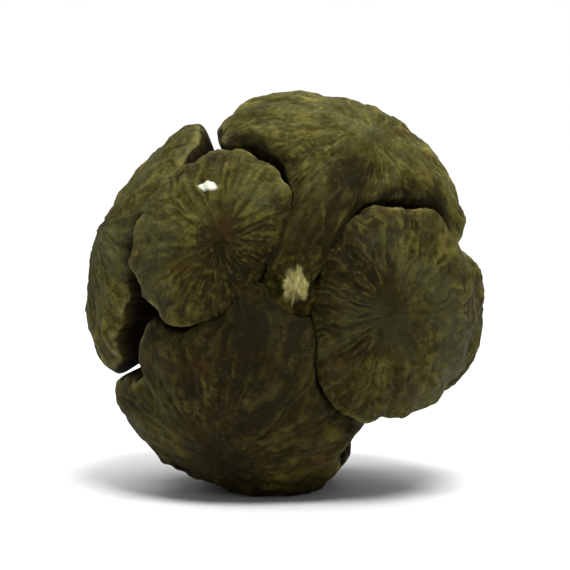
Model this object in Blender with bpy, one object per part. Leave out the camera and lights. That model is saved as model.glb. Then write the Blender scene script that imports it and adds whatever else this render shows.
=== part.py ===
"""A ripe cypress cone: a woody ball of six crossed pairs of shield-shaped scales, lying on its side.

Each scale is a thick shield on a tapering foot. The feet run in to a central column, and a stub of
the stalk sits in the hollow where the two oldest scales meet. It grew as one piece of wood, so the
scales and the column are one solid. The stalk end faces -Y and +Z is up.
"""

from collections import namedtuple
from math import cos, pi, radians, sin

import bmesh
import bpy
import numpy as np
from mathutils import Matrix

MM = 0.001

# The ball that the rims of the shields lie on, as half its width and half its length.
RIM_RADIUS = 15.9 * MM
RIM_HALF_LENGTH = 17.0 * MM

# How the cone lies: the stalk end turned a little to +X and raised a little.
STALK_YAW = radians(4.0)
STALK_PITCH = radians(2.0)
FLAT_DEPTH = 0.70 * MM

# Where the stub of the stalk comes out, a little off the ball's long axis: from the axis, round it.
STUB_PLACE = (3.6, 108)

# Dents in the faces, as degrees from the long axis, degrees round it, reach in degrees and depth in
# millimetres: the hollow round the stub, a pit above it and a flatter cheek at the upper left.
DENTS = ((*STUB_PLACE, 12, 2.2), (39, 66, 7, 0.7), (84, 140, 22, 0.9))

# The column from the top of the stub to its lower end: height over the middle of the ball, radius,
# and how many times as long it is along the crack between the two oldest scales.
COLUMN_SIDES = 24
COLUMN = (
    (16.4, 0.50, 1.2),
    (16.2, 0.85, 1.3),
    (15.8, 1.10, 1.5),
    (15.4, 1.50, 1.6),
    (14.9, 1.90, 1.5),
    (14.3, 2.60, 1.2),
    (13.6, 4.60, 1.0),
    (12.0, 7.40, 1.0),
    (9.6, 7.20, 1.0),
    (6.0, 4.60, 1.0),
    (0.0, 3.80, 1.0),
    (-7.0, 3.40, 1.0),
    (-11.5, 1.20, 1.0),
)

# A shield's face falls from its boss to its rim, and its edge is rolled over, less so where it is
# joined to its neighbours. The boss is this wide as a share of the way to the rim.
EDGE_ROLL = 0.55 * MM
EDGE_ROLL_WIDTH = radians(6)
JOINED_ROLL = 0.4
BOSS_WIDTH = 0.15

# Ribs run out to the rim, at full height on a face that reaches this far. Lumps are all over.
RIB_HEIGHT = 0.18 * MM
RIB_REACH = radians(28)
LUMP_HEIGHT = 0.045 * MM
LUMP_WAVES = 9
LUMPS_ACROSS = (11, 24)

# The rim wanders in waves: how many go round the face, and how high as a share of its reach.
RIM_WAVES = ((3, 0.022), (5, 0.018), (8, 0.014), (13, 0.010))

# Running means round the face, in steps of the outline: for its corners and for its dome.
CORNER_ROUNDING = 3
DOME_ROUNDING = 14

# Degrees between the two scales of a pair.
PARTNER_GAP = 1.2

# Round the stalk the scales are still joined. The cracks start here and are fully open by there.
# Joined scales keep this share of their rise, so they are nearly level with each other.
CRACK_START = radians(22)
CRACK_OPEN = radians(40)
JOINED = -1.2
JOINED_RISE = 0.25

# Points that a join leaves closer together than this are made one.
WELD = 0.002 * MM

# Rings on a shield's face, as a share of the way from the boss to the rim.
FACE_RINGS = (0.08, 0.19, 0.38, 0.60, 0.80, 0.92, 1.0)

# Rings below the rim: share of the way in to the column, and of the width left there.
WALL_RINGS = ((0.055, 0.960), (0.15, 0.850), (0.29, 0.660), (0.48, 0.430), (0.74, 0.300), (1.0, 0.240))
FOOT_SPREAD = 0.34

# Sides of a scale, of which every second one is a rib's crest. The two scales at the tip are small.
SIDES = 36
TIP_SIDES = 24
OUTLINE_STEPS = 360
LONGEST_REACH = radians(64)
REACH_STEPS = 256

# One row for each scale, from the stalk to the tip. Angles are in degrees and lifts in millimetres.
# around and down place the shield's widest line: round the stalk, and from the stalk to the tip.
# back, front and wide are its reach from there to the stalk, to the tip and to either side. square
# is 2 for an oval face and more for one with squarer corners. off is how far its boss sits back to
# the stalk, rise lifts its rim off the ball, dome is its face's bulge, boss its knob's height, and
# clear is the gap it keeps from the scales that grew after it.
Scale = namedtuple("Scale", "name around down back front wide square off rise dome boss clear")
SCALES = (
    Scale("stalk_left", 144, 33, 20, 23, 26.5, 2.3, 8, 0.75, 1.4, 0.10, 2.7),
    Scale("stalk_right", -9, 34, 29, 31, 31.8, 2.4, 11, 0.65, 1.5, 0.10, 1.7),
    Scale("upper_front", 65, 57, 54, 31, 42, 2.8, 6, 0.20, 1.6, 0.20, 1.8),
    Scale("lower_front", -116, 57, 54, 31, 37.5, 3.2, 8, 0.42, 1.6, 0.20, 1.8),
    Scale("left", 161, 86, 31, 22, 44, 2.2, 4, 0.20, 0.4, 0.10, 2.6),
    Scale("right", -10, 90, 28, 28, 23, 2.9, 4, -0.40, 1.0, 0.10, 2.6),
    Scale("upper_back", 70, 116, 26, 26, 37, 2.6, 3, 0.00, 1.3, 0.70, 2.6),
    Scale("lower_back", -105, 115, 25, 25, 36, 2.6, 3, -0.10, 1.3, 0.70, 2.6),
    Scale("left_back", 160, 140, 24, 24, 32, 2.4, 2, -0.15, 1.2, 0.75, 2.8),
    Scale("right_back", -19, 142, 23, 23, 32, 2.4, 2, -0.15, 1.2, 0.75, 2.8),
    Scale("tip_upper", 70, 164, 15, 15, 22, 2.2, 1, -0.35, 0.8, 0.55, 2.0),
    Scale("tip_lower", -110, 166, 14, 14, 20, 2.2, 1, -0.45, 0.7, 0.55, 2.0),
)

# A few rims are drawn out to a point or bitten back: where round the face, in degrees, and by what
# share of its reach.
SPURS = (
    ("stalk_right", 52, -0.21),
    ("lower_front", -54, 0.06),
    ("lower_front", -97, -0.21),
    ("lower_front", 108, -0.14),
    ("upper_front", 38, 0.06),
    ("upper_front", -90, -0.05),
    ("upper_front", -58, -0.05),
    ("right", -140, 0.08),
    ("upper_back", -128, 0.07),
    ("right_back", 50, 0.09),
)
SPUR_WIDTH = radians(13)


def direction(down, around):
    """The unit vector at that angle from the stalk and round it. The stalk is +Z here."""
    return np.array([sin(down) * cos(around), sin(down) * sin(around), cos(down)])


def frame_at(down, around):
    """The direction there, the way towards the tip, and the way sideways."""
    tipward = direction(down + pi / 2, around)
    sideways = np.array([-sin(around), cos(around), 0.0])
    return direction(down, around), tipward, sideways


def middle_frame(scale):
    return frame_at(radians(scale.down), radians(scale.around))


def boss_frame(scale):
    return frame_at(radians(scale.down - scale.off), radians(scale.around))


def beyond_own_edge(scale, points):
    """How far, in radians, each direction lies outside the scale's own outline."""
    middle, tipward, sideways = middle_frame(scale)
    away = np.arccos(np.clip(points @ middle, -1, 1))
    turn = np.arctan2(points @ sideways, points @ tipward)
    length = np.where(np.cos(turn) > 0, radians(scale.front), radians(scale.back))
    share = np.abs(np.cos(turn) / length) ** scale.square
    share += np.abs(np.sin(turn) / radians(scale.wide)) ** scale.square
    return away - drawn_out(scale, turn) * share ** (-1 / scale.square)


def drawn_out(scale, turn):
    """How far the points and bites of its rim change a scale's reach, as a share of it."""
    total = np.ones_like(turn)
    for name, place, length in SPURS:
        if name == scale.name:
            away = (turn - radians(place) + pi) % (2 * pi) - pi
            total += length * np.exp(-((away / SPUR_WIDTH) ** 2))
    return total


def openness(points):
    """How far the cracks are open in each direction: 1 over most of the cone, less than 0 where
    the scales run in to each other round the stalk."""
    from_stalk = np.arccos(np.clip(points[..., 2], -1, 1))
    return np.clip((from_stalk - CRACK_START) / (CRACK_OPEN - CRACK_START), JOINED, 1)


def outline(number):
    """Reach of a scale's face from its boss, in radians, in OUTLINE_STEPS even steps of turn.

    A ray runs out from the boss until it leaves the scale's own outline, meets a scale nearer the
    stalk, which lies over this one, or comes to the middle line between the scale and its partner.
    """
    scale = SCALES[number]
    turns = np.arange(OUTLINE_STEPS) * 2 * pi / OUTLINE_STEPS
    reaches = np.linspace(0, LONGEST_REACH, REACH_STEPS)
    boss, tipward, sideways = boss_frame(scale)
    heading = np.outer(np.cos(turns), tipward) + np.outer(np.sin(turns), sideways)
    points = np.cos(reaches)[None, :, None] * boss + np.sin(reaches)[None, :, None] * heading[:, None, :]
    gap = openness(points)
    stopped = beyond_own_edge(scale, points) > 0
    pair_start = number - number % 2
    for older in SCALES[:pair_start]:
        stopped |= beyond_own_edge(older, points) < radians(older.clear) * gap
    partner = SCALES[pair_start + 1 - number % 2]
    across = middle_frame(scale)[0] - middle_frame(partner)[0]
    stopped |= points @ (across / np.linalg.norm(across)) < radians(PARTNER_GAP / 2) * gap
    stopped[:, -1] = True
    reach = reaches[np.argmax(stopped, axis=1)]
    return rounded(reach, CORNER_ROUNDING) * wavy(turns, number)


def rounded(reach, rounding):
    """The outline with its corners eased, by a running mean with soft ends."""
    steps = np.arange(-2 * rounding, 2 * rounding + 1)
    weights = np.exp(-((steps / rounding) ** 2))
    weights /= weights.sum()
    return sum(weight * np.roll(reach, step) for weight, step in zip(weights, steps))


def wavy(turns, number):
    """The uneven edge, as a share of the reach."""
    draw = np.random.default_rng(41 + number)
    edge = np.ones_like(turns)
    for waves, height in RIM_WAVES:
        edge += height * np.cos(waves * turns + draw.uniform(0, 2 * pi))
    return edge


def ball_radius(points):
    """Distance from the middle of the ball to its surface in each direction."""
    across = (points[..., 0] ** 2 + points[..., 1] ** 2) / RIM_RADIUS**2
    return (across + points[..., 2] ** 2 / RIM_HALF_LENGTH**2) ** -0.5


def face_ring(scale, reach, dome_reach, turns, share):
    """One ring of the shield's face, at that share of the way from the boss to the rim."""
    crests = np.cos(turns * len(turns) / 2)
    boss, tipward, sideways = boss_frame(scale)
    heading = np.outer(np.cos(turns), tipward) + np.outer(np.sin(turns), sideways)
    angle = (share * reach)[:, None]
    points = np.cos(angle) * boss + np.sin(angle) * heading
    bulge = 1 - np.clip(share * reach / dome_reach, 0, 1) ** 2
    rolled = np.clip(1 - (1 - share) * reach / EDGE_ROLL_WIDTH, 0, 1) ** 2
    rolled *= np.clip(openness(points), JOINED_ROLL, 1)
    rise = scale.rise * MM * np.clip(openness(points), JOINED_RISE, 1)
    height = rise + scale.dome * MM * bulge - EDGE_ROLL * rolled
    height += scale.boss * MM * np.exp(-((share / BOSS_WIDTH) ** 2))
    height += RIB_HEIGHT * share**1.5 * crests * np.clip(reach / RIB_REACH, 0, 1)
    radius = ball_radius(points) + height + lumps(points) - dents(points)
    return points * radius[:, None]


def dents(points):
    """How deep the faces are dented in each direction."""
    depth = np.zeros(points.shape[:-1])
    for down, around, reach, deepest in DENTS:
        away = np.arccos(np.clip(points @ direction(radians(down), radians(around)), -1, 1))
        depth += deepest * MM * np.exp(-((away / radians(reach)) ** 2))
    return depth


def lumps(points):
    """The uneven surface, as a sum of waves that run through the ball in seeded directions."""
    draw = np.random.default_rng(7)
    total = np.zeros(points.shape[:-1])
    for _ in range(LUMP_WAVES):
        way = draw.normal(size=3)
        way *= draw.uniform(*LUMPS_ACROSS) / np.linalg.norm(way)
        total += np.cos(points @ way + draw.uniform(0, 2 * pi))
    return LUMP_HEIGHT * total


def scale_mesh(number):
    """Points and faces of one scale: its boss, the rings of its face, its wall and its foot."""
    scale = SCALES[number]
    sides = TIP_SIDES if scale.name.startswith("tip") else SIDES
    turns = np.arange(sides) * 2 * pi / sides
    edge = outline(number)
    reach = edge[:: OUTLINE_STEPS // sides]
    dome_reach = rounded(edge, DOME_ROUNDING)[:: OUTLINE_STEPS // sides]
    rings = [face_ring(scale, reach, dome_reach, turns, share) for share in FACE_RINGS]
    rim = rings[-1]
    middle = rim.mean(axis=0)
    foot = np.array([0, 0, FOOT_SPREAD * RIM_HALF_LENGTH * cos(radians(scale.down))])
    for inward, width in WALL_RINGS:
        rings.append(middle + inward * (foot - middle) + width * (rim - middle))
    first = face_ring(scale, reach[:1], dome_reach[:1], turns[:1], 0.0)
    last = rings[-1].mean(axis=0, keepdims=True)
    points = np.concatenate([first, *rings, last])
    return points, ring_faces(sides, len(rings))


def ring_faces(sides, rings):
    """Faces of a closed skin: a first point, then rings of points, then a last point."""
    end = 1 + rings * sides
    faces = []
    for side in range(sides):
        after = (side + 1) % sides
        faces.append((0, 1 + side, 1 + after))
        for ring in range(rings - 1):
            a, b = 1 + ring * sides + side, 1 + ring * sides + after
            faces.append((a, a + sides, b + sides, b))
        faces.append((end - sides + side, end, end - sides + after))
    return faces


def column_mesh():
    """The column that the feet run in to, a leaning spindle, with the stub of the stalk on its top."""
    turns = np.arange(COLUMN_SIDES) * 2 * pi / COLUMN_SIDES
    lean = direction(radians(STUB_PLACE[0]), radians(STUB_PLACE[1]))
    rings = []
    for height, radius, stretch in COLUMN:
        around = np.stack([np.cos(turns), stretch * np.sin(turns), np.zeros(COLUMN_SIDES)], axis=1)
        rings.append(around * radius * MM + lean * height * MM)
    ends = [rings[end].mean(axis=0, keepdims=True) for end in (0, -1)]
    return np.concatenate([ends[0], *rings, ends[1]]), ring_faces(COLUMN_SIDES, len(rings))


def add_object(name, points, faces):
    mesh = bpy.data.meshes.new(name)
    mesh.from_pydata([tuple(point) for point in points], [], faces)
    mesh.update()
    return bpy.data.objects.new(name, mesh)


def lying_matrix():
    """Turns the cone from standing on its tip to lying, with its stalk end towards -Y."""
    to_front = Matrix(((1, 0, 0), (0, 0, -1), (0, 1, 0)))
    return Matrix.Rotation(STALK_YAW, 3, "Z") @ Matrix.Rotation(-STALK_PITCH, 3, "X") @ to_front


def fused(column, scales):
    """The column and the scales joined in one solid."""
    together = bpy.data.collections.new("scales")
    bpy.context.scene.collection.children.link(together)
    for piece in scales:
        together.objects.link(piece)
    union = column.modifiers.new("union", "BOOLEAN")
    union.operation = "UNION"
    union.operand_type = "COLLECTION"
    union.collection = together
    union.solver = "EXACT"
    apply_modifiers(column)
    for piece in scales:
        bpy.data.objects.remove(piece)
    bpy.data.collections.remove(together)


def apply_modifiers(piece):
    graph = bpy.context.evaluated_depsgraph_get()
    graph.update()
    made = bpy.data.meshes.new_from_object(piece.evaluated_get(graph))
    piece.modifiers.clear()
    piece.data = made
    welded = bmesh.new()
    welded.from_mesh(made)
    bmesh.ops.remove_doubles(welded, verts=welded.verts, dist=WELD)
    bmesh.ops.dissolve_degenerate(welded, edges=welded.edges, dist=WELD)
    welded.to_mesh(made)
    welded.free()


def flatten_base(cone):
    """Lowers the cone until its lowest scales are worn flat where they touch the ground."""
    heights = [vertex.co.z for vertex in cone.data.vertices]
    cone.data.transform(Matrix.Translation((0, 0, -min(heights) - FLAT_DEPTH)))
    reach = 2 * RIM_HALF_LENGTH
    corners = [(x, y, z) for z in (-reach, 0) for y in (-reach, reach) for x in (-reach, reach)]
    sides = [(0, 2, 3, 1), (4, 5, 7, 6), (0, 1, 5, 4), (2, 6, 7, 3), (0, 4, 6, 2), (1, 3, 7, 5)]
    ground = add_object("ground", corners, sides)
    bpy.context.scene.collection.objects.link(ground)
    cut = cone.modifiers.new("flat", "BOOLEAN")
    cut.operation = "DIFFERENCE"
    cut.object = ground
    cut.solver = "EXACT"
    apply_modifiers(cone)
    bpy.data.objects.remove(ground)


def centre_on_ground(cone):
    """Puts the middle of the cone's outline, seen from above, over the origin."""
    points = np.array([vertex.co for vertex in cone.data.vertices])
    middle = (points.min(axis=0) + points.max(axis=0)) / 2
    cone.data.transform(Matrix.Translation((-middle[0], -middle[1], 0)))


def wood():
    material = bpy.data.materials.new("weathered_cone_wood")
    material.use_nodes = True
    shader = material.node_tree.nodes["Principled BSDF"]
    shader.inputs["Base Color"].default_value = (0.115, 0.092, 0.036, 1)
    shader.inputs["Roughness"].default_value = 0.78
    shader.inputs["Metallic"].default_value = 0.0
    return material


def main():
    for thing in list(bpy.data.objects):
        bpy.data.objects.remove(thing)
    cone = add_object("cone", *column_mesh())
    bpy.context.scene.collection.objects.link(cone)
    scales = [add_object(scale.name, *scale_mesh(number)) for number, scale in enumerate(SCALES)]
    fused(cone, scales)
    cone.data.transform(lying_matrix().to_4x4())
    flatten_base(cone)
    centre_on_ground(cone)
    cone.data.materials.clear()
    cone.data.materials.append(wood())
    cone.data.shade_smooth()
    cone.data.set_sharp_from_angle(angle=radians(40))


main()
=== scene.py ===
"""The cypress cone, dressed: every scale again in fine relief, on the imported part's frame.

The scales are shaped by the same rules and numbers as the part's own, with many more points, and get
wrinkles, grain, pocks and chipped rims. Lengths are in millimetres until a mesh is made.
"""

from collections import namedtuple
from math import cos, pi, radians, sin

import bpy
import numpy as np
from mathutils import Matrix, Vector


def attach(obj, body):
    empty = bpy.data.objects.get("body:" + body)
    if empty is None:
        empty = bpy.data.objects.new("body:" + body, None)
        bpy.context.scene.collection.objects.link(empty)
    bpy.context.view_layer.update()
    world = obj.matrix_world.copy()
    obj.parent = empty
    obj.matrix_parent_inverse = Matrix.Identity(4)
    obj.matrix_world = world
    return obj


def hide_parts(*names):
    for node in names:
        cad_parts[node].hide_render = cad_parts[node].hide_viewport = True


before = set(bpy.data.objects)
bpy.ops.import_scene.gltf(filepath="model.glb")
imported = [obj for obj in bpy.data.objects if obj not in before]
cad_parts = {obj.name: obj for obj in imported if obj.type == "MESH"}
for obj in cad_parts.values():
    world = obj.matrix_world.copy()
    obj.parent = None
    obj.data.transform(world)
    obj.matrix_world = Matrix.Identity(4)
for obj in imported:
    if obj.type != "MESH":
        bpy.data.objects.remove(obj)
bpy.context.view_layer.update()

MM = 0.001

# Where the middle of the ball lies, and how the cone lies round it.
BALL_CENTRE = (0.001, -0.106, 15.926)
STALK_YAW = radians(4.0)
STALK_PITCH = radians(2.0)

# The ball that the rims of the shields lie on, as half its width and half its length.
RIM_RADIUS = 15.9
RIM_HALF_LENGTH = 17.0

# Where the stub of the stalk comes out, and the dents in the faces, as in the part.
STUB_PLACE = (3.6, 108)
DENTS = ((*STUB_PLACE, 12, 2.2), (39, 66, 7, 0.7), (84, 140, 22, 0.9))

# The column from the top of the stub to its lower end: height, radius, and stretch up and down.
COLUMN = (
    (16.4, 0.50, 1.2),
    (16.2, 0.85, 1.3),
    (15.8, 1.10, 1.5),
    (15.4, 1.50, 1.6),
    (14.9, 1.90, 1.5),
    (14.3, 2.60, 1.2),
    (13.6, 4.60, 1.0),
    (12.0, 7.40, 1.0),
    (9.6, 7.20, 1.0),
    (6.0, 4.60, 1.0),
    (0.0, 3.80, 1.0),
    (-7.0, 3.40, 1.0),
    (-11.5, 1.20, 1.0),
)
COLUMN_SIDES = 120
COLUMN_RINGS = 150

# The shield's face, as in the part.
EDGE_ROLL = 0.55
EDGE_ROLL_WIDTH = radians(6)
JOINED_ROLL = 0.4
BOSS_WIDTH = 0.15
RIB_HEIGHT = 0.18
RIB_REACH = radians(28)
LUMP_HEIGHT = 0.045
LUMP_WAVES = 9
LUMPS_ACROSS = (11, 24)
RIM_WAVES = ((3, 0.022), (5, 0.018), (8, 0.014), (13, 0.010))
CORNER_ROUNDING = 3
DOME_ROUNDING = 14
PARTNER_GAP = 1.2
CRACK_START = radians(22)
CRACK_OPEN = radians(40)
JOINED = -1.2
JOINED_RISE = 0.25
RIB_COUNT = 18
TIP_RIB_COUNT = 12
WALL_RINGS = ((0.055, 0.960), (0.15, 0.850), (0.29, 0.660), (0.48, 0.430), (0.74, 0.300), (1.0, 0.240))
FOOT_SPREAD = 0.34
OUTLINE_STEPS = 360
LONGEST_REACH = radians(64)
REACH_STEPS = 1024

# Painted shade: how far it reaches round the stalk and beside older scales, how strong it is in the seam
# beside an older scale, and how wide its dark line is where two scales are still joined, in millimetres.
PAINTED_SHADE_REACH = radians(33)
SEAM_REACH = radians(3.0)
SEAM_SHADE_STRENGTH = 1.7
JOIN_WIDTH = 1.5

# Painted shade from the small hollow down to the stalk: from the long axis, round it, reach and strength.
PAINTED_SHADE_SPOTS = ((35, 65, 7.5, 1.7), (27, 66, 7.0, 1.4), (18, 72, 7.0, 1.35))

# A fleck of dried resin: from the long axis, round it, its half sizes and its thickness.
RESIN_PLACE = (38, 128.5)
RESIN_SIZE = (0.85, 0.38, 1.5)
RESIN_THICKNESS = 0.16

# How finely the seen and the hidden scales are made: sides, rings on the face, rings on the wall. The
# rings crowd towards the rim by this power.
FRONT_GRID = (360, 72, 36)
BACK_GRID = (240, 52, 28)
FRONT_SCALES = 6
RING_CROWDING = 1.25

# Rings on either side of a rim that are smoothed, how many times, and the width of the painted rim
# highlight.
EASED_RINGS = 6
EASED_TIMES = 3
RIM_HIGHLIGHT_WIDTH = 0.50

# Wrinkles of a face near the boss, half way out and near the rim: how fine they are and how fast they
# change on the way out. The shares of the way to the rim where one kind gives way to the next, and where
# the smooth boss ends. Then their bends, as a turn and a size, and the heights of all that is on a face.
# The whole is set back a little, so that the crests stay near the part's own face.
WRINKLES = ((3.6, 1.6), (7.0, 2.2), (11.5, 3.4))
BOSS_ENDS = (0.05, 0.36)
HALF_WAY = (0.18, 0.45)
OUTER_PART = (0.45, 0.85)
WRINKLE_BENDS = ((0.11, 2.6), (0.045, 1.0))
WRINKLE_HEIGHT = 0.145
BREAK_HEIGHT = 0.03
GRAIN_HEIGHT = 0.07
FINE_GRAIN_HEIGHT = 0.03
POCK_DEPTH = 0.07
SET_BACK = 0.04

# Nicks, finer nicks and chips of a rim, as a share of its reach.
NICK_DEPTH = 0.007
FINE_NICK_DEPTH = 0.006
CHIP_DEPTH = 0.014

# Fibres, finer fibres and lumps of a wall, as a share of its width.
FIBRE_SWELL = 0.016
FINE_FIBRE_SWELL = 0.009
LUMP_SWELL = 0.02

# Lobes, fibres and finer fibres of the column, as a share of its radius. The stub's end is torn this deep,
# growing between two heights, and its bark gives way to bare wood between two more.
LOBE_SWELL = 0.22
STALK_FIBRE_SWELL = 0.11
FINE_STALK_SWELL = 0.06
TORN_DEPTH = 0.35
TORN_BETWEEN = (14.8, 15.8)
BARE_BETWEEN = (15.85, 16.30)

Scale = namedtuple("Scale", "name around down back front wide square off rise dome boss clear")
SCALES = (
    Scale("stalk_left", 144, 33, 20, 23, 26.5, 2.3, 8, 0.75, 1.4, 0.10, 2.7),
    Scale("stalk_right", -9, 34, 29, 31, 31.8, 2.4, 11, 0.65, 1.5, 0.10, 1.7),
    Scale("upper_front", 65, 57, 54, 31, 42, 2.8, 6, 0.20, 1.6, 0.20, 1.8),
    Scale("lower_front", -116, 57, 54, 31, 37.5, 3.2, 8, 0.42, 1.6, 0.20, 1.8),
    Scale("left", 161, 86, 31, 22, 44, 2.2, 4, 0.20, 0.4, 0.10, 2.6),
    Scale("right", -10, 90, 28, 28, 23, 2.9, 4, -0.40, 1.0, 0.10, 2.6),
    Scale("upper_back", 70, 116, 26, 26, 37, 2.6, 3, 0.00, 1.3, 0.70, 2.6),
    Scale("lower_back", -105, 115, 25, 25, 36, 2.6, 3, -0.10, 1.3, 0.70, 2.6),
    Scale("left_back", 160, 140, 24, 24, 32, 2.4, 2, -0.15, 1.2, 0.75, 2.8),
    Scale("right_back", -19, 142, 23, 23, 32, 2.4, 2, -0.15, 1.2, 0.75, 2.8),
    Scale("tip_upper", 70, 164, 15, 15, 22, 2.2, 1, -0.35, 0.8, 0.55, 2.0),
    Scale("tip_lower", -110, 166, 14, 14, 20, 2.2, 1, -0.45, 0.7, 0.55, 2.0),
)
SPURS = (
    ("stalk_right", 52, -0.21),
    ("lower_front", -54, 0.06),
    ("lower_front", -97, -0.21),
    ("lower_front", 108, -0.14),
    ("upper_front", 38, 0.06),
    ("upper_front", -90, -0.05),
    ("upper_front", -58, -0.05),
    ("right", -140, 0.08),
    ("upper_back", -128, 0.07),
    ("right_back", 50, 0.09),
)
SPUR_WIDTH = radians(13)

# Each scale's tone, partly its own colour and partly painted light and shade, lighter on the upper scales
# and
# darker on the lower ones: 0 is dark brown, 0.5 olive and 1 golden.
SHADES = {
    "stalk_left": 0.48,
    "stalk_right": 0.44,
    "upper_front": 0.69,
    "lower_front": 0.11,
    "left": 0.50,
    "right": 0.50,
    "upper_back": 0.55,
    "lower_back": 0.25,
    "left_back": 0.48,
    "right_back": 0.40,
    "tip_upper": 0.55,
    "tip_lower": 0.36,
}

# The floor, in metres: half its width, its front and back, and the bend up to the top of the wall behind.
FLOOR_HALF_WIDTH = 1.6
FLOOR_FRONT = -1.6
FLOOR_BACK = 0.75
FLOOR_BEND = 0.35
FLOOR_TOP = 1.5
FLOOR_STEPS = 24

# Soft lights: name, place, what it points at, width in metres and power in watts. The sky adds a little.
CONE_MIDDLE = (0, 0, 0.017)
LIGHTS = (
    ("ceiling_softbox", (0.0, 0.25, 1.0), (0, 0.25, 0), 1.3, 11.5),
    ("key_softbox", (0.08, -0.26, 0.50), CONE_MIDDLE, 0.26, 3.5),
    ("front_softbox", (0.12, -0.75, 0.25), CONE_MIDDLE, 0.45, 0.75),
    ("backdrop_softbox", (0.0, 0.35, 0.75), (0, 1.1, 0.25), 0.5, 1.6),
)
SKY_LIGHT = 0.20

# The camera: what it looks at, from how far and from how much above, its lens and the nearest it sees.
CAMERA_TARGET = (0, 0, 0.0165)
CAMERA_DISTANCE = 0.27
CAMERA_RISE = radians(4)
CAMERA_LENS = 207
CAMERA_NEAREST = 0.01


# Noise


def smooth_noise(points, seed):
    """Gradient noise in space, about -1 to 1, with one cell to each unit."""
    draw = np.random.default_rng(seed)
    ways = draw.normal(size=(256, 3))
    ways /= np.linalg.norm(ways, axis=1, keepdims=True)
    shuffle = draw.permutation(256)
    cell = np.floor(points).astype(int)
    part = points - cell
    blend = part**3 * (part * (part * 6 - 15) + 10)
    total = np.zeros(points.shape[:-1])
    for corner in np.ndindex(2, 2, 2):
        at = (cell + corner) & 255
        key = shuffle[(shuffle[(shuffle[at[..., 0]] + at[..., 1]) & 255] + at[..., 2]) & 255]
        pull = np.sum(ways[key] * (part - corner), axis=-1)
        share = np.prod(np.where(np.array(corner) == 1, blend, 1 - blend), axis=-1)
        total += pull * share
    return total * 1.6


def rough_noise(points, seed, octaves):
    """Smooth noise with finer and finer noise on it."""
    return sum(smooth_noise(points * 2.03**k, seed + k) * 0.5**k for k in range(octaves))


def ramp(values, low, high):
    """0 below low, 1 above high, and an even curve between."""
    share = np.clip((values - low) / (high - low), 0, 1)
    return share * share * (3 - 2 * share)


# Shape of a scale, as in the part


def direction(down, around):
    """The way out from the middle at these angles from the stalk and round it."""
    return np.array([sin(down) * cos(around), sin(down) * sin(around), cos(down)])


def frame_at(down, around):
    """The way out, the way towards the tip and the way round the stalk, at one place."""
    tipward = direction(down + pi / 2, around)
    sideways = np.array([-sin(around), cos(around), 0.0])
    return direction(down, around), tipward, sideways


def middle_frame(scale):
    """The frame at a shield's widest line."""
    return frame_at(radians(scale.down), radians(scale.around))


def boss_frame(scale):
    """The frame at a shield's boss."""
    return frame_at(radians(scale.down - scale.off), radians(scale.around))


def beyond_own_edge(scale, points):
    """How far each place lies outside a scale's own rounded outline, in radians."""
    middle, tipward, sideways = middle_frame(scale)
    away = np.arccos(np.clip(points @ middle, -1, 1))
    turn = np.arctan2(points @ sideways, points @ tipward)
    length = np.where(np.cos(turn) > 0, radians(scale.front), radians(scale.back))
    share = np.abs(np.cos(turn) / length) ** scale.square
    share += np.abs(np.sin(turn) / radians(scale.wide)) ** scale.square
    return away - drawn_out(scale, turn) * share ** (-1 / scale.square)


def drawn_out(scale, turn):
    """How many times as far the outline reaches there, for its points and bites."""
    total = np.ones_like(turn)
    for name, place, length in SPURS:
        if name == scale.name:
            away = (turn - radians(place) + pi) % (2 * pi) - pi
            total += length * np.exp(-((away / SPUR_WIDTH) ** 2))
    return total


def openness(points):
    """How open the cracks are: below 0 where scales are joined, 1 where fully open."""
    from_stalk = np.arccos(np.clip(points[..., 2], -1, 1))
    return np.clip((from_stalk - CRACK_START) / (CRACK_OPEN - CRACK_START), JOINED, 1)


def outline(number):
    """Reach of a scale's face from its boss, in radians, in OUTLINE_STEPS even steps of turn."""
    scale = SCALES[number]
    turns = np.arange(OUTLINE_STEPS) * 2 * pi / OUTLINE_STEPS
    reaches = np.linspace(0, LONGEST_REACH, REACH_STEPS)
    boss, tipward, sideways = boss_frame(scale)
    heading = np.outer(np.cos(turns), tipward) + np.outer(np.sin(turns), sideways)
    points = np.cos(reaches)[None, :, None] * boss + np.sin(reaches)[None, :, None] * heading[:, None, :]
    gap = openness(points)
    stopped = beyond_own_edge(scale, points) > 0
    pair_start = number - number % 2
    for older in SCALES[:pair_start]:
        stopped |= beyond_own_edge(older, points) < radians(older.clear) * gap
    partner = SCALES[pair_start + 1 - number % 2]
    across = middle_frame(scale)[0] - middle_frame(partner)[0]
    stopped |= points @ (across / np.linalg.norm(across)) < radians(PARTNER_GAP / 2) * gap
    stopped[:, -1] = True
    reach = reaches[np.argmax(stopped, axis=1)]
    return rounded(reach, CORNER_ROUNDING) * wavy(turns, number)


def rounded(reach, rounding):
    """The outline with its corners rounded, by a running mean round it."""
    steps = np.arange(-2 * rounding, 2 * rounding + 1)
    weights = np.exp(-((steps / rounding) ** 2))
    weights /= weights.sum()
    return sum(weight * np.roll(reach, step) for weight, step in zip(weights, steps))


def wavy(turns, number):
    """Low waves of the rim, different for each scale."""
    draw = np.random.default_rng(41 + number)
    edge = np.ones_like(turns)
    for waves, height in RIM_WAVES:
        edge += height * np.cos(waves * turns + draw.uniform(0, 2 * pi))
    return edge


def ball_radius(points):
    """How far out the ball's skin lies in each direction."""
    across = (points[..., 0] ** 2 + points[..., 1] ** 2) / RIM_RADIUS**2
    return (across + points[..., 2] ** 2 / RIM_HALF_LENGTH**2) ** -0.5


def dents(points):
    """How deep the faces are pressed in at each place."""
    depth = np.zeros(points.shape[:-1])
    for down, around, reach, deepest in DENTS:
        away = np.arccos(np.clip(points @ direction(radians(down), radians(around)), -1, 1))
        depth += deepest * np.exp(-((away / radians(reach)) ** 2))
    return depth


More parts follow.
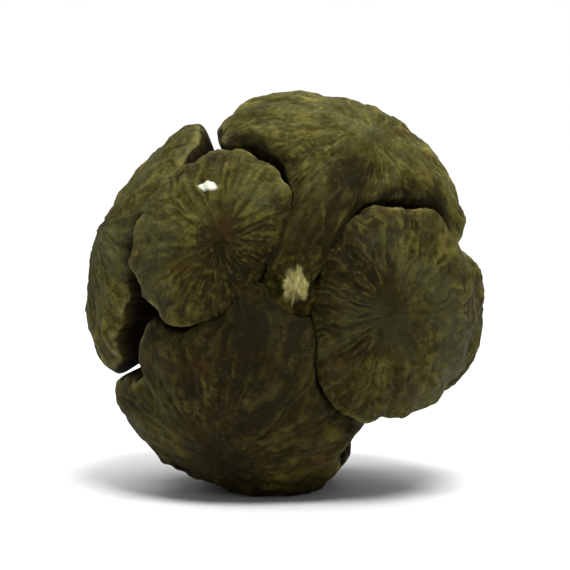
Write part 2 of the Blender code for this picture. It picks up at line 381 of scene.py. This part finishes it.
def lumps(points):
    """Low uneven lumps all over."""
    draw = np.random.default_rng(7)
    total = np.zeros(points.shape[:-1])
    for _ in range(LUMP_WAVES):
        way = draw.normal(size=3)
        way *= draw.uniform(*LUMPS_ACROSS) / np.linalg.norm(way)
        total += np.cos(points @ way + draw.uniform(0, 2 * pi))
    return LUMP_HEIGHT * total


# Fine relief


def round_coordinates(turns, share, across, along):
    """Places for noise that runs in streaks out from the boss: finer with across, longer with along."""
    share = np.broadcast_to(share, turns.shape)
    return np.stack([np.cos(turns) * across, np.sin(turns) * across, share * along], axis=-1)


def chipped(reach, turns, number):
    """The outline with fine nicks and a few chips."""
    seed = 900 + 10 * number
    fine = smooth_noise(round_coordinates(turns, 0.5, 13.0, 1.0), seed)
    finer = smooth_noise(round_coordinates(turns, 0.5, 30.0, 1.0), seed + 1)
    chips = ramp(smooth_noise(round_coordinates(turns, 0.5, 6.0, 1.0), seed + 2), 0.25, 0.45)
    return reach * (1 + NICK_DEPTH * fine + FINE_NICK_DEPTH * finer - CHIP_DEPTH * chips)


def ridged(turns, share, across, along, seed):
    """Narrow crests between furrows, -1 to 1, that run out from the boss."""
    wave = smooth_noise(round_coordinates(turns, share, across, along), seed)
    return 1 - 2 * np.clip(np.abs(wave) / 0.7, 0, 1)


def face_wrinkles(turns, share, points, seed):
    """Bent wrinkles, -1 to 1, finer towards the rim, and the noise that breaks them up."""
    bent = turns
    for k, (turn, size) in enumerate(WRINKLE_BENDS):
        bent = bent + turn * smooth_noise(points / size, seed + 30 + k)
    near, far = ramp(share, *HALF_WAY), ramp(share, *OUTER_PART)
    inner, middle, outer = (ridged(bent, share, *kind, seed + 1 + k) for k, kind in enumerate(WRINKLES))
    wrinkles = (1 - near) * inner + near * (1 - 0.6 * far) * middle + 0.8 * far * outer
    wrinkles *= 0.1 + 0.9 * ramp(share, *BOSS_ENDS)
    broken = smooth_noise(round_coordinates(bent, share, 6.0, 11.0), seed + 4)
    return wrinkles * (0.65 + 0.6 * broken), broken


def face_relief(turns, share, points, number):
    """Fine height of the face over the part's own, in millimetres, and its painted light and shade, -1 to
    1.
    """
    seed = 100 * (number + 1)
    wrinkles, broken = face_wrinkles(turns, share, points, seed)
    grain = GRAIN_HEIGHT * rough_noise(points / 1.3, seed + 10, 4)
    grain += FINE_GRAIN_HEIGHT * rough_noise(points / 0.42, seed + 15, 2)
    pocks = ramp(smooth_noise(points / 0.8, seed + 20), 0.34, 0.66)
    height = WRINKLE_HEIGHT * wrinkles + BREAK_HEIGHT * broken + grain - POCK_DEPTH * pocks - SET_BACK
    # Painted light and shade of the relief: light on the crests, dark in the furrows and pocks.
    tone = 0.85 * wrinkles + 2.2 * grain - 0.7 * pocks
    return height, np.clip(tone, -1, 1)


def wall_relief(turns, inward, number):
    """Fine swelling of the wall, as a share of its width, and its painted light and shade."""
    seed = 100 * (number + 1) + 50
    fibres = smooth_noise(round_coordinates(turns, inward, 14.0, 2.0), seed)
    fine_fibres = smooth_noise(round_coordinates(turns, inward, 34.0, 3.5), seed + 1)
    lumpy = smooth_noise(round_coordinates(turns, inward, 3.0, 6.0), seed + 2)
    swell = FIBRE_SWELL * fibres + FINE_FIBRE_SWELL * fine_fibres + LUMP_SWELL * lumpy
    return swell, np.clip(fibres + fine_fibres, -1, 1)


def resin_spot(points):
    """How much of each place on the stalk's left scale is under a fleck of dried resin."""
    middle = direction(radians(RESIN_PLACE[0]), radians(RESIN_PLACE[1])) * RIM_RADIUS
    offset = points - middle * (np.linalg.norm(points, axis=-1, keepdims=True) / RIM_RADIUS)
    away = np.linalg.norm(offset / RESIN_SIZE, axis=-1) + 0.35 * smooth_noise(points / 0.5, 77)
    return 1 - ramp(away, 0.7, 1.0)


# Painted shade along the seam where an older scale's edge stands beside this one.
def seam(points, number):
    """How near each place is to the edge of an older scale that stands beside its own, 0 to 1."""
    away = np.full(points.shape[:-1], pi)
    for older in SCALES[: number - number % 2]:
        clear = radians(older.clear) * openness(points)
        away = np.minimum(away, np.clip(beyond_own_edge(older, points) - clear, 0, pi))
    broken = np.clip(0.85 + 0.6 * smooth_noise(points * RIM_RADIUS / 1.5, 60 + number), 0, 1)
    return np.exp(-((away / SEAM_REACH) ** 2)) * broken


def stalk_painted_shade(points):
    """Painted shade round the stalk and up to the small hollow above it."""
    from_stalk = np.arccos(np.clip(points[..., 2], -1, 1))
    painted_dark = np.exp(-((from_stalk / PAINTED_SHADE_REACH) ** 2))
    ragged = 1 + 0.5 * smooth_noise(points * RIM_RADIUS / 1.6, 59)
    for down, around, reach, strength in PAINTED_SHADE_SPOTS:
        away = np.arccos(np.clip(points @ direction(radians(down), radians(around)), -1, 1))
        painted_dark = np.maximum(painted_dark, strength * np.exp(-((away * ragged / radians(reach)) ** 2)))
    return painted_dark


def face_rings(scale, number, reach, dome_reach, turns, shares):
    """Points of the face, ring by ring, its painted light and shade, its resin and how open the cracks are.
    """
    boss, tipward, sideways = boss_frame(scale)
    heading = np.outer(np.cos(turns), tipward) + np.outer(np.sin(turns), sideways)
    share = shares[:, None]
    angle = (share * reach)[..., None]
    points = np.cos(angle) * boss + np.sin(angle) * heading
    bulge = 1 - np.clip(share * reach / dome_reach, 0, 1) ** 2
    rolled = np.clip(1 - (1 - share) * reach / EDGE_ROLL_WIDTH, 0, 1) ** 2
    rolled = rolled * np.clip(openness(points), JOINED_ROLL, 1)
    rise = scale.rise * np.clip(openness(points), JOINED_RISE, 1)
    height = rise + scale.dome * bulge - EDGE_ROLL * rolled
    height += scale.boss * np.exp(-((share / BOSS_WIDTH) ** 2))
    ribs = TIP_RIB_COUNT if scale.name.startswith("tip") else RIB_COUNT
    crests = np.cos(turns * ribs)
    height += RIB_HEIGHT * share**1.5 * crests * np.clip(reach / RIB_REACH, 0, 1)
    radius = ball_radius(points) + height + lumps(points) - dents(points)
    all_turns = np.broadcast_to(turns, angle.shape[:-1])
    fine, tone = face_relief(all_turns, share, points * radius[..., None], number)
    resin = resin_spot(points * radius[..., None]) * (scale.name == "stalk_left")
    radius += fine + RESIN_THICKNESS * resin
    return points * radius[..., None], tone, resin, openness(points)


def wall_profile(steps):
    """Share of the way in to the column and of the width left, on a smooth line through the rings."""
    inward = np.array([0.0] + [ring[0] for ring in WALL_RINGS])
    width = np.array([1.0] + [ring[1] for ring in WALL_RINGS])
    at = np.linspace(0, 1, steps + 1)[1:] ** RING_CROWDING
    return at, np.interp(at, inward, width)


def wall_rings(scale, number, rim, turns, steps):
    """Points of the wall, ring by ring from the rim in, its painted light and shade, and how far in each
    ring is.
    """
    middle = rim.mean(axis=0)
    foot = np.array([0, 0, FOOT_SPREAD * RIM_HALF_LENGTH * cos(radians(scale.down))])
    inward, width = wall_profile(steps)
    swell, tone = wall_relief(np.broadcast_to(turns, (steps, len(turns))), inward[:, None], number)
    widths = width[:, None] * (1 + swell * ramp(inward, 0.0, 0.05)[:, None])
    points = middle + inward[:, None, None] * (foot - middle) + widths[..., None] * (rim - middle)
    return points, tone, inward


def rim_highlight_and_painted_shade(rings, number, to_rim, opened):
    """How pale each place is as a painted rim highlight, and how dark as painted shade by the stalk, a seam
    or a join.
    """
    ways = rings / np.linalg.norm(rings, axis=-1, keepdims=True)
    beside = seam(ways, number)
    # Painted highlight along the rim where the crack is open.
    rim = np.exp(-((to_rim / RIM_HIGHLIGHT_WIDTH) ** 2)) * np.clip(opened, 0, 1) * (1 - beside)
    join = np.exp(-((to_rim / JOIN_WIDTH) ** 2)) * np.clip(1 - opened, 0, 1)
    return rim, np.maximum(np.maximum(join, stalk_painted_shade(ways)), SEAM_SHADE_STRENGTH * beside)


def scale_mesh(number):
    """Points, faces and the values that the material reads, for one scale in fine relief."""
    sides, face_steps, wall_steps = FRONT_GRID if number < FRONT_SCALES else BACK_GRID
    turns = np.arange(sides) * 2 * pi / sides
    steps = np.arange(OUTLINE_STEPS) * 2 * pi / OUTLINE_STEPS
    edge = outline(number)
    reach = chipped(np.interp(turns, steps, edge, period=2 * pi), turns, number)
    dome_reach = np.interp(turns, steps, rounded(edge, DOME_ROUNDING), period=2 * pi)
    shares = 1 - (1 - np.linspace(0, 1, face_steps + 1)[1:]) ** RING_CROWDING
    face, face_tone, resin, opened = face_rings(SCALES[number], number, reach, dome_reach, turns, shares)
    wall, wall_tone, inward = wall_rings(SCALES[number], number, face[-1], turns, wall_steps)
    rings = eased_rim(np.concatenate([face, wall]), face_steps - 1)
    row = np.ones(sides)
    to_rim = np.concatenate([(1 - shares)[:, None] * reach, inward[:, None] * row]) * RIM_RADIUS
    opened = np.concatenate([opened, np.repeat(opened[-1:], wall_steps, axis=0)])
    # Painted rim highlight, and painted shade by the stalk, in seams and along joins.
    rim, valley = rim_highlight_and_painted_shade(rings, number, to_rim, opened)
    out = np.concatenate([ramp(shares, 0.15, 0.7), np.ones(wall_steps)])[:, None] * row
    walls = np.concatenate([np.zeros(face_steps), inward])[:, None] * row
    along = np.concatenate([shares, 1 + inward])[:, None] * row
    values = {
        "wall": per_point(walls, 0.0, 1.0),
        # The relief's painted light and shade.
        "relief": per_point(np.concatenate([face_tone, wall_tone]), 0.0, 0.0),
        "rim": per_point(rim, 0.0, 0.0),
        "outer": per_point(out, 0.0, 1.0),
        # Painted shade by the stalk, in seams and along joins.
        "valley": per_point(valley, 0.0, 0.0),
        "resin": per_point(np.concatenate([resin, np.zeros((wall_steps, sides))]), 0.0, 0.0),
        "streak": streak_places(turns, along),
    }
    return capped(rings), ring_quads(sides, len(rings)), values


def streak_places(turns, along):
    """Where each point lies in the streaks: round the boss, and out from it."""
    streak = round_coordinates(np.broadcast_to(turns, along.shape), along, 1.0, 1.0).reshape(-1, 3)
    return np.concatenate([[[0, 0, 0]], streak, [[0, 0, 2]]])


def capped(rings):
    """The rings' points in one row, with a middle point before the first ring and after the last."""
    first = rings[0].mean(axis=0, keepdims=True)
    last = rings[-1].mean(axis=0, keepdims=True)
    return np.concatenate([first, rings.reshape(-1, 3), last])


def eased_rim(rings, rim_ring):
    """Rounds the corner between the face and the wall a little."""
    for _ in range(EASED_TIMES):
        eased(rings[rim_ring - EASED_RINGS : rim_ring + EASED_RINGS + 1])
    return rings


def eased(rows):
    """Smooths rows in place, each with the rows beside it."""
    rows[1:-1] = 0.25 * rows[:-2] + 0.5 * rows[1:-1] + 0.25 * rows[2:]


def per_point(values, first, last):
    """One value for each point, with those of the two middle points."""
    return np.concatenate([[first], values.reshape(-1), [last]])


def ring_quads(sides, rings):
    """Faces of a closed skin: a first point, then rings of points, then a last point."""
    side = np.arange(sides)
    after = (side + 1) % sides
    end = 1 + rings * sides
    start = (1 + sides * np.arange(rings - 1))[:, None]
    quads = np.stack([start + side, start + side + sides, start + after + sides, start + after], axis=-1)
    caps = [(0, 1 + a, 1 + b) for a, b in zip(side, after)]
    caps += [(end - sides + a, end, end - sides + b) for a, b in zip(side, after)]
    return quads.reshape(-1, 4).tolist() + caps


def column_profile():
    """Heights, radii and stretches of the column's rings, which crowd towards the stub."""
    rows = np.array(COLUMN)
    lengths = np.concatenate([[0], np.cumsum(np.hypot(*np.diff(rows[:, :2], axis=0).T))])
    at = lengths[-1] * np.linspace(0, 1, COLUMN_RINGS) ** 2.0
    lines = [np.interp(at, lengths, column)[:, None] for column in rows.T]
    for line in lines:
        eased(line)
        eased(line)
    return lines


def column_mesh():
    """The column and the stub of the stalk, with a torn, fibrous top."""
    turns = np.arange(COLUMN_SIDES) * 2 * pi / COLUMN_SIDES
    height, radius, stretch = column_profile()
    all_turns = np.broadcast_to(turns, (COLUMN_RINGS, COLUMN_SIDES))
    lobes = smooth_noise(round_coordinates(all_turns, height, 1.5, 0.55), 5)
    fibres = smooth_noise(round_coordinates(all_turns, height, 5.5, 0.35), 6)
    fine = smooth_noise(round_coordinates(all_turns, height, 14.0, 0.9), 7)
    swell = 1 + LOBE_SWELL * lobes + STALK_FIBRE_SWELL * fibres + FINE_STALK_SWELL * fine
    circle = np.stack([np.cos(turns), np.sin(turns)], axis=-1)
    flat = circle * (radius * swell)[..., None]
    flat[..., 1] *= stretch
    torn = smooth_noise(np.stack([flat[..., 0] * 1.6, flat[..., 1] * 1.1, 0 * all_turns], axis=-1), 8)
    lift = TORN_DEPTH * torn * ramp(height, *TORN_BETWEEN)
    lean = direction(radians(STUB_PLACE[0]), radians(STUB_PLACE[1]))
    rings = lean * height[..., None] + np.concatenate([flat, lift[..., None]], axis=-1)
    values = {
        "stub": per_point(ramp(height + TORN_DEPTH * torn, *BARE_BETWEEN), 1.0, 0.0),
        # How far the column swells, which its material paints as shade in the grooves.
        "relief": per_point(np.clip((swell - 1) * 4, -1, 1), 0.0, 0.0),
    }
    return capped(rings), ring_quads(COLUMN_SIDES, COLUMN_RINGS), values


def lying_matrix():
    """Turns the cone from standing on its tip to lying, with its stalk end towards -Y."""
    to_front = Matrix(((1, 0, 0), (0, 0, -1), (0, 1, 0)))
    turn = Matrix.Rotation(STALK_YAW, 3, "Z") @ Matrix.Rotation(-STALK_PITCH, 3, "X") @ to_front
    return np.array(turn)


def in_place(points):
    """From the cone's own millimetres to the row's metres, worn flat where it would sink in the floor."""
    placed = (points @ lying_matrix().T + BALL_CENTRE) * MM
    placed[:, 2] = np.maximum(placed[:, 2], 0)
    return placed


def add_piece(name, points, faces, values, material):
    """A mesh of these points and faces, with the values that its material reads."""
    mesh = bpy.data.meshes.new(name)
    mesh.from_pydata(points.tolist(), [], faces)
    for label, value in values.items():
        kind = "FLOAT_VECTOR" if value.ndim == 2 else "FLOAT"
        field = "vector" if value.ndim == 2 else "value"
        attribute = mesh.attributes.new(label, kind, "POINT")
        attribute.data.foreach_set(field, value.astype(np.float32).ravel())
    mesh.materials.append(material)
    mesh.shade_smooth()
    return link(bpy.data.objects.new(name, mesh))


# Materials


# Sockets of the node that mixes two colours: the share, the two colours, and what comes out.
MIX_SHARE = 0
MIX_FIRST = 6
MIX_SECOND = 7
MIX_RESULT = 2


class Nodes:
    """Short calls for building a material's nodes."""

    def __init__(self, name):
        self.material = bpy.data.materials.new(name)
        self.material.use_nodes = True
        self.tree = self.material.node_tree
        self.shader = self.tree.nodes["Principled BSDF"]

    def add(self, kind, **settings):
        node = self.tree.nodes.new(kind)
        for key, value in settings.items():
            setattr(node, key, value)
        return node

    def put(self, socket, value):
        if isinstance(value, bpy.types.NodeSocket):
            self.tree.links.new(value, socket)
        else:
            socket.default_value = value

    def attribute(self, name, vector=False):
        node = self.add("ShaderNodeAttribute", attribute_name=name)
        return node.outputs["Vector" if vector else "Fac"]

    def place(self):
        """The piece's own coordinates in millimetres."""
        where = self.add("ShaderNodeTexCoord").outputs["Object"]
        return self.stretch(where, (1 / MM, 1 / MM, 1 / MM))

    def stretch(self, vector, factors):
        node = self.add("ShaderNodeVectorMath", operation="MULTIPLY")
        self.put(node.inputs[0], vector)
        self.put(node.inputs[1], factors)
        return node.outputs[0]

    def noise(self, vector, scale, detail=3.0, roughness=0.55):
        node = self.add("ShaderNodeTexNoise")
        self.put(node.inputs["Vector"], vector)
        self.put(node.inputs["Scale"], scale)
        self.put(node.inputs["Detail"], detail)
        self.put(node.inputs["Roughness"], roughness)
        return node.outputs["Fac"]

    def math(self, operation, first, second=0.0):
        node = self.add("ShaderNodeMath", operation=operation)
        self.put(node.inputs[0], first)
        self.put(node.inputs[1], second)
        return node.outputs[0]

    def weighted(self, *terms):
        """The sum of the values, each times its weight."""
        total = 0.0
        for value, weight in terms:
            node = self.add("ShaderNodeMath", operation="MULTIPLY_ADD")
            self.put(node.inputs[0], value)
            self.put(node.inputs[1], weight)
            self.put(node.inputs[2], total)
            total = node.outputs[0]
        return total

    def step(self, value, low, high):
        node = self.add("ShaderNodeMapRange", interpolation_type="SMOOTHSTEP")
        self.put(node.inputs["Value"], value)
        self.put(node.inputs["From Min"], low)
        self.put(node.inputs["From Max"], high)
        return node.outputs["Result"]

    def ramp(self, value, stops):
        node = self.add("ShaderNodeValToRGB")
        self.put(node.inputs["Fac"], value)
        elements = node.color_ramp.elements
        while len(elements) < len(stops):
            elements.new(0.5)
        for element, (position, colour) in zip(elements, stops):
            element.position = position
            element.color = (*colour, 1)
        return node.outputs["Color"]

    def mix(self, share, first, second):
        node = self.add("ShaderNodeMix", data_type="RGBA")
        self.put(node.inputs[MIX_SHARE], share)
        for socket, colour in ((MIX_FIRST, first), (MIX_SECOND, second)):
            fixed = not isinstance(colour, bpy.types.NodeSocket)
            self.put(node.inputs[socket], (*colour, 1) if fixed else colour)
        return node.outputs[MIX_RESULT]

    def bump(self, height):
        node = self.add("ShaderNodeBump")
        self.put(node.inputs["Height"], height)
        self.put(node.inputs["Distance"], BUMP_HEIGHT)
        self.put(node.inputs["Strength"], BUMP_STRENGTH)
        self.put(self.shader.inputs["Normal"], node.outputs["Normal"])


DARK = (0.0085, 0.0064, 0.0011)
BROWN = (0.021, 0.0150, 0.0026)
OLIVE = (0.040, 0.0350, 0.0048)
GREEN_GREY = (0.063, 0.060, 0.0150)
GOLD = (0.185, 0.160, 0.032)
# The colour of the painted rim highlight.
RIM_HIGHLIGHT_GOLD = (0.210, 0.190, 0.062)
RUST = (0.040, 0.017, 0.0035)
LICHEN = (0.046, 0.050, 0.021)
RESIN = (0.60, 0.62, 0.50)

# Colours from low to high, each with the value at which it is reached.
FACE_COLOURS = ((0.18, DARK), (0.35, BROWN), (0.50, OLIVE), (0.65, GREEN_GREY), (0.86, GOLD))
COLLAR_COLOURS = ((0.30, DARK), (0.48, BROWN), (0.62, OLIVE), (0.78, GREEN_GREY))
WALL_EDGE_COLOURS = ((0.30, (0.008, 0.0055, 0.0015)), (0.68, (0.040, 0.030, 0.008)))
# Painted shade: the walls grow near black further into the cracks.
INNER_WALL_COLOURS = (
    (0.30, (0.002, 0.0012, 0.0005)),
    (0.50, (0.006, 0.0038, 0.0014)),
    (0.72, (0.022, 0.0135, 0.0050)),
)
TORN_END_COLOURS = (
    (0.30, (0.090, 0.078, 0.024)),
    (0.55, (0.240, 0.215, 0.080)),
    (0.75, (0.420, 0.390, 0.190)),
)
FLOOR_COLOURS = ((0.3, (0.78, 0.78, 0.775)), (0.7, (0.80, 0.80, 0.795)))

# Dry wood hardly shines. Its finest grain stands this high, in metres, at this strength.
WOOD_SPECULAR = 0.05
BUMP_HEIGHT = 0.1 * MM
BUMP_STRENGTH = 0.8
STUB_ROUGHNESS = 0.85
FLOOR_ROUGHNESS = 0.6


def face_colour(nodes, place, streak):
    """Mottled olive with streaks out from the boss, gold flecks, painted gold highlights on crests and
    painted shade.
    """
    relief = nodes.attribute("relief")
    shade = nodes.attribute("shade")
    middling = nodes.noise(place, 0.85, 4.0, 0.65)
    small = nodes.noise(place, 2.4, 3.0, 0.7)
    streaks = nodes.noise(nodes.stretch(streak, (15.0, 15.0, 3.4)), 1.0, 4.0, 0.65)
    streaks = nodes.math("MULTIPLY", nodes.math("SUBTRACT", streaks, 0.5), nodes.attribute("outer"))
    tone = nodes.weighted(
        (relief, 0.06),
        (nodes.noise(place, 0.16, 3.0), 0.74),
        (middling, 0.42),
        (small, 0.48),
        (streaks, 0.62),
        (shade, 0.42),
        # Painted shade by the stalk, in seams and along joins, darkens the tone.
        (nodes.attribute("valley"), -0.20),
    )
    colour = nodes.ramp(nodes.math("SUBTRACT", tone, 0.53), FACE_COLOURS)
    gilt = nodes.math("ADD", nodes.weighted((shade, 0.38)), 0.10)
    speckle = nodes.weighted((nodes.noise(place, 3.1, 2.0, 0.6), 1.0), (middling, 0.35), (relief, 0.06))
    patches = nodes.step(nodes.noise(place, 0.30, 2.0), 0.42, 0.60)
    flecks = nodes.math("MULTIPLY", nodes.step(speckle, 0.70, 0.88), patches)
    colour = nodes.mix(nodes.math("MULTIPLY", flecks, gilt), colour, GOLD)
    # Painted highlight: gold on the crests of the relief.
    crests = nodes.step(nodes.weighted((relief, 1.0), (small, 0.8)), 0.45, 1.15)
    return nodes.mix(nodes.math("MULTIPLY", crests, gilt), colour, GOLD)


def aged(nodes, place, colour):
    """The colour with patches of rusty brown and of grey lichen."""
    rust = nodes.step(nodes.noise(nodes.stretch(place, (1.0, 1.0, 1.3)), 0.22, 3.0), 0.57, 0.70)
    colour = nodes.mix(nodes.math("MULTIPLY", rust, 0.50), colour, RUST)
    grey = nodes.step(nodes.noise(place, 0.13, 3.0, 0.6), 0.50, 0.66)
    return nodes.mix(nodes.math("MULTIPLY", grey, nodes.attribute("shade")), colour, LICHEN)


def with_painted_light_and_resin(nodes, place, colour):
    """The colour with painted shade in furrows, seams, joins and by the stalk, a patchy painted rim
    highlight and the resin.
    """
    # Painted shade in the furrows and pocks of the relief.
    low = nodes.step(nodes.math("MULTIPLY", nodes.attribute("relief"), -1.0), 0.15, 0.95)
    colour = nodes.mix(nodes.math("MULTIPLY", low, 0.50), colour, DARK)
    # Painted shade by the stalk, in seams and along joins.
    colour = nodes.mix(nodes.math("MULTIPLY", nodes.attribute("valley"), 0.55), colour, DARK)
    # Painted highlight along the open rims, in patches.
    patches = nodes.step(nodes.noise(place, 0.9, 3.0), 0.36, 0.62)
    rim = nodes.math("MULTIPLY", nodes.attribute("rim"), nodes.math("MULTIPLY", patches, 0.60))
    return nodes.mix(nodes.attribute("resin"), nodes.mix(rim, colour, RIM_HIGHLIGHT_GOLD), RESIN)


def wall_colour(nodes, streak, wall):
    """Brown fibres just below the rim, and darker ones further in as painted shade deep in the crack."""
    fibres = nodes.noise(nodes.stretch(streak, (16.0, 16.0, 3.0)), 1.0, 4.0, 0.65)
    edge = nodes.ramp(fibres, WALL_EDGE_COLOURS)
    return nodes.mix(nodes.step(wall, 0.01, 0.10), edge, nodes.ramp(fibres, INNER_WALL_COLOURS))


def scale_material():
    """Weathered wood of the scales: olive faces, pale thin rims and dark brown fibrous walls."""
    nodes = Nodes("weathered_scale")
    place = nodes.place()
    streak = nodes.attribute("streak", vector=True)
    wall = nodes.attribute("wall")
    face = with_painted_light_and_resin(nodes, place, aged(nodes, place, face_colour(nodes, place, streak)))
    colour = nodes.mix(nodes.step(wall, 0.004, 0.020), face, wall_colour(nodes, streak, wall))
    nodes.put(nodes.shader.inputs["Base Color"], colour)
    rough = nodes.weighted((nodes.noise(place, 1.4, 4.0), 0.40))
    nodes.put(nodes.shader.inputs["Roughness"], nodes.math("ADD", rough, 0.45))
    nodes.shader.inputs["Specular IOR Level"].default_value = WOOD_SPECULAR
    grain = nodes.noise(place, 5.5, 4.0, 0.7)
    fine_streaks = nodes.noise(nodes.stretch(streak, (34.0, 34.0, 6.0)), 1.0, 3.0, 0.6)
    nodes.bump(nodes.weighted((grain, 1.0), (fine_streaks, 0.7)))
    return nodes.material


def stub_material():
    """The stalk: a torn pale end on an olive collar, with painted shade in its grooves."""
    nodes = Nodes("stalk_stub")
    place = nodes.place()
    fibres = nodes.noise(nodes.stretch(place, (1.6, 0.5, 0.8)), 1.6, 4.0, 0.7)
    collar = nodes.ramp(nodes.noise(place, 1.3, 4.0), COLLAR_COLOURS)
    colour = nodes.mix(nodes.attribute("stub"), collar, nodes.ramp(fibres, TORN_END_COLOURS))
    # Painted shade in the grooves between the stalk's lobes and fibres.
    low = nodes.step(nodes.math("MULTIPLY", nodes.attribute("relief"), -1.0), 0.0, 0.9)
    colour = nodes.mix(nodes.math("MULTIPLY", low, 0.7), colour, DARK)
    nodes.put(nodes.shader.inputs["Base Color"], colour)
    nodes.shader.inputs["Roughness"].default_value = STUB_ROUGHNESS
    nodes.shader.inputs["Specular IOR Level"].default_value = WOOD_SPECULAR
    nodes.bump(nodes.noise(place, 6.0, 4.0, 0.7))
    return nodes.material


def floor_material():
    """A plain pale floor, very slightly uneven in tone."""
    nodes = Nodes("pale_floor")
    shade = nodes.noise(nodes.place(), 0.02, 2.0)
    nodes.put(nodes.shader.inputs["Base Color"], nodes.ramp(shade, FLOOR_COLOURS))
    nodes.shader.inputs["Roughness"].default_value = FLOOR_ROUGHNESS
    return nodes.material


# Scene


def link(obj):
    """Puts a new object in the scene."""
    bpy.context.scene.collection.objects.link(obj)
    return obj


def floor_profile():
    """The floor's line from the front to the top of the wall behind, as y and z."""
    line = [(FLOOR_FRONT, 0.0)]
    for step in range(FLOOR_STEPS + 1):
        turn = step / FLOOR_STEPS * pi / 2
        line.append((FLOOR_BACK + FLOOR_BEND * sin(turn), FLOOR_BEND - FLOOR_BEND * cos(turn)))
    line.append((FLOOR_BACK + FLOOR_BEND, FLOOR_TOP))
    return line


def add_floor():
    """A floor that curves up behind the cone, far enough off that other views stand on it too."""
    profile = floor_profile()
    points = [(x, y, z) for y, z in profile for x in (-FLOOR_HALF_WIDTH, FLOOR_HALF_WIDTH)]
    faces = [(2 * k, 2 * k + 1, 2 * k + 3, 2 * k + 2) for k in range(len(profile) - 1)]
    mesh = bpy.data.meshes.new("floor")
    mesh.from_pydata(points, [], faces)
    mesh.materials.append(floor_material())
    mesh.shade_smooth()
    floor = link(bpy.data.objects.new("floor", mesh))


def add_sky():
    """Even white light from all round."""
    world = bpy.data.worlds.new("studio")
    world.use_nodes = True
    background = world.node_tree.nodes["Background"]
    background.inputs["Color"].default_value = (1, 1, 1, 1)
    background.inputs["Strength"].default_value = SKY_LIGHT
    bpy.context.scene.world = world


def add_light(name, place, target, size, power):
    """A round soft light that points at its target."""
    light = bpy.data.lights.new(name, "AREA")
    light.shape = "DISK"
    light.size = size
    light.energy = power
    lamp = link(bpy.data.objects.new(name, light))
    lamp.location = place
    lamp.rotation_euler = (Vector(target) - Vector(place)).to_track_quat("-Z", "Y").to_euler()


def add_camera():
    """The photo's view: straight at the stalk end, from a little above."""
    camera = bpy.data.cameras.new("camera")
    camera.lens = CAMERA_LENS
    camera.clip_start = CAMERA_NEAREST
    eye = link(bpy.data.objects.new("camera", camera))
    target = Vector(CAMERA_TARGET)
    eye.location = target + Vector((0, -cos(CAMERA_RISE), sin(CAMERA_RISE))) * CAMERA_DISTANCE
    eye.rotation_euler = (target - eye.location).to_track_quat("-Z", "Y").to_euler()
    bpy.context.scene.camera = eye
    bpy.context.scene.view_settings.view_transform = "Standard"


def add_cone():
    """Every scale as its own piece, and the column with the stub of the stalk."""
    wood = scale_material()
    for number, scale in enumerate(SCALES):
        points, faces, values = scale_mesh(number)
        # The scale's tone, partly painted light and shade.
        values["shade"] = np.full(len(points), SHADES[scale.name])
        piece = add_piece(scale.name + "_scale", in_place(points), faces, values, wood)
        dress(piece)
    points, faces, values = column_mesh()
    dress(add_piece("column_and_stalk", in_place(points), faces, values, stub_material()))


def dress(piece):
    """Makes a piece part of the cone's dress."""
    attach(piece, "root")
    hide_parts("cone")


add_floor()
add_sky()
for softbox in LIGHTS:
    add_light(*softbox)
add_camera()
add_cone()
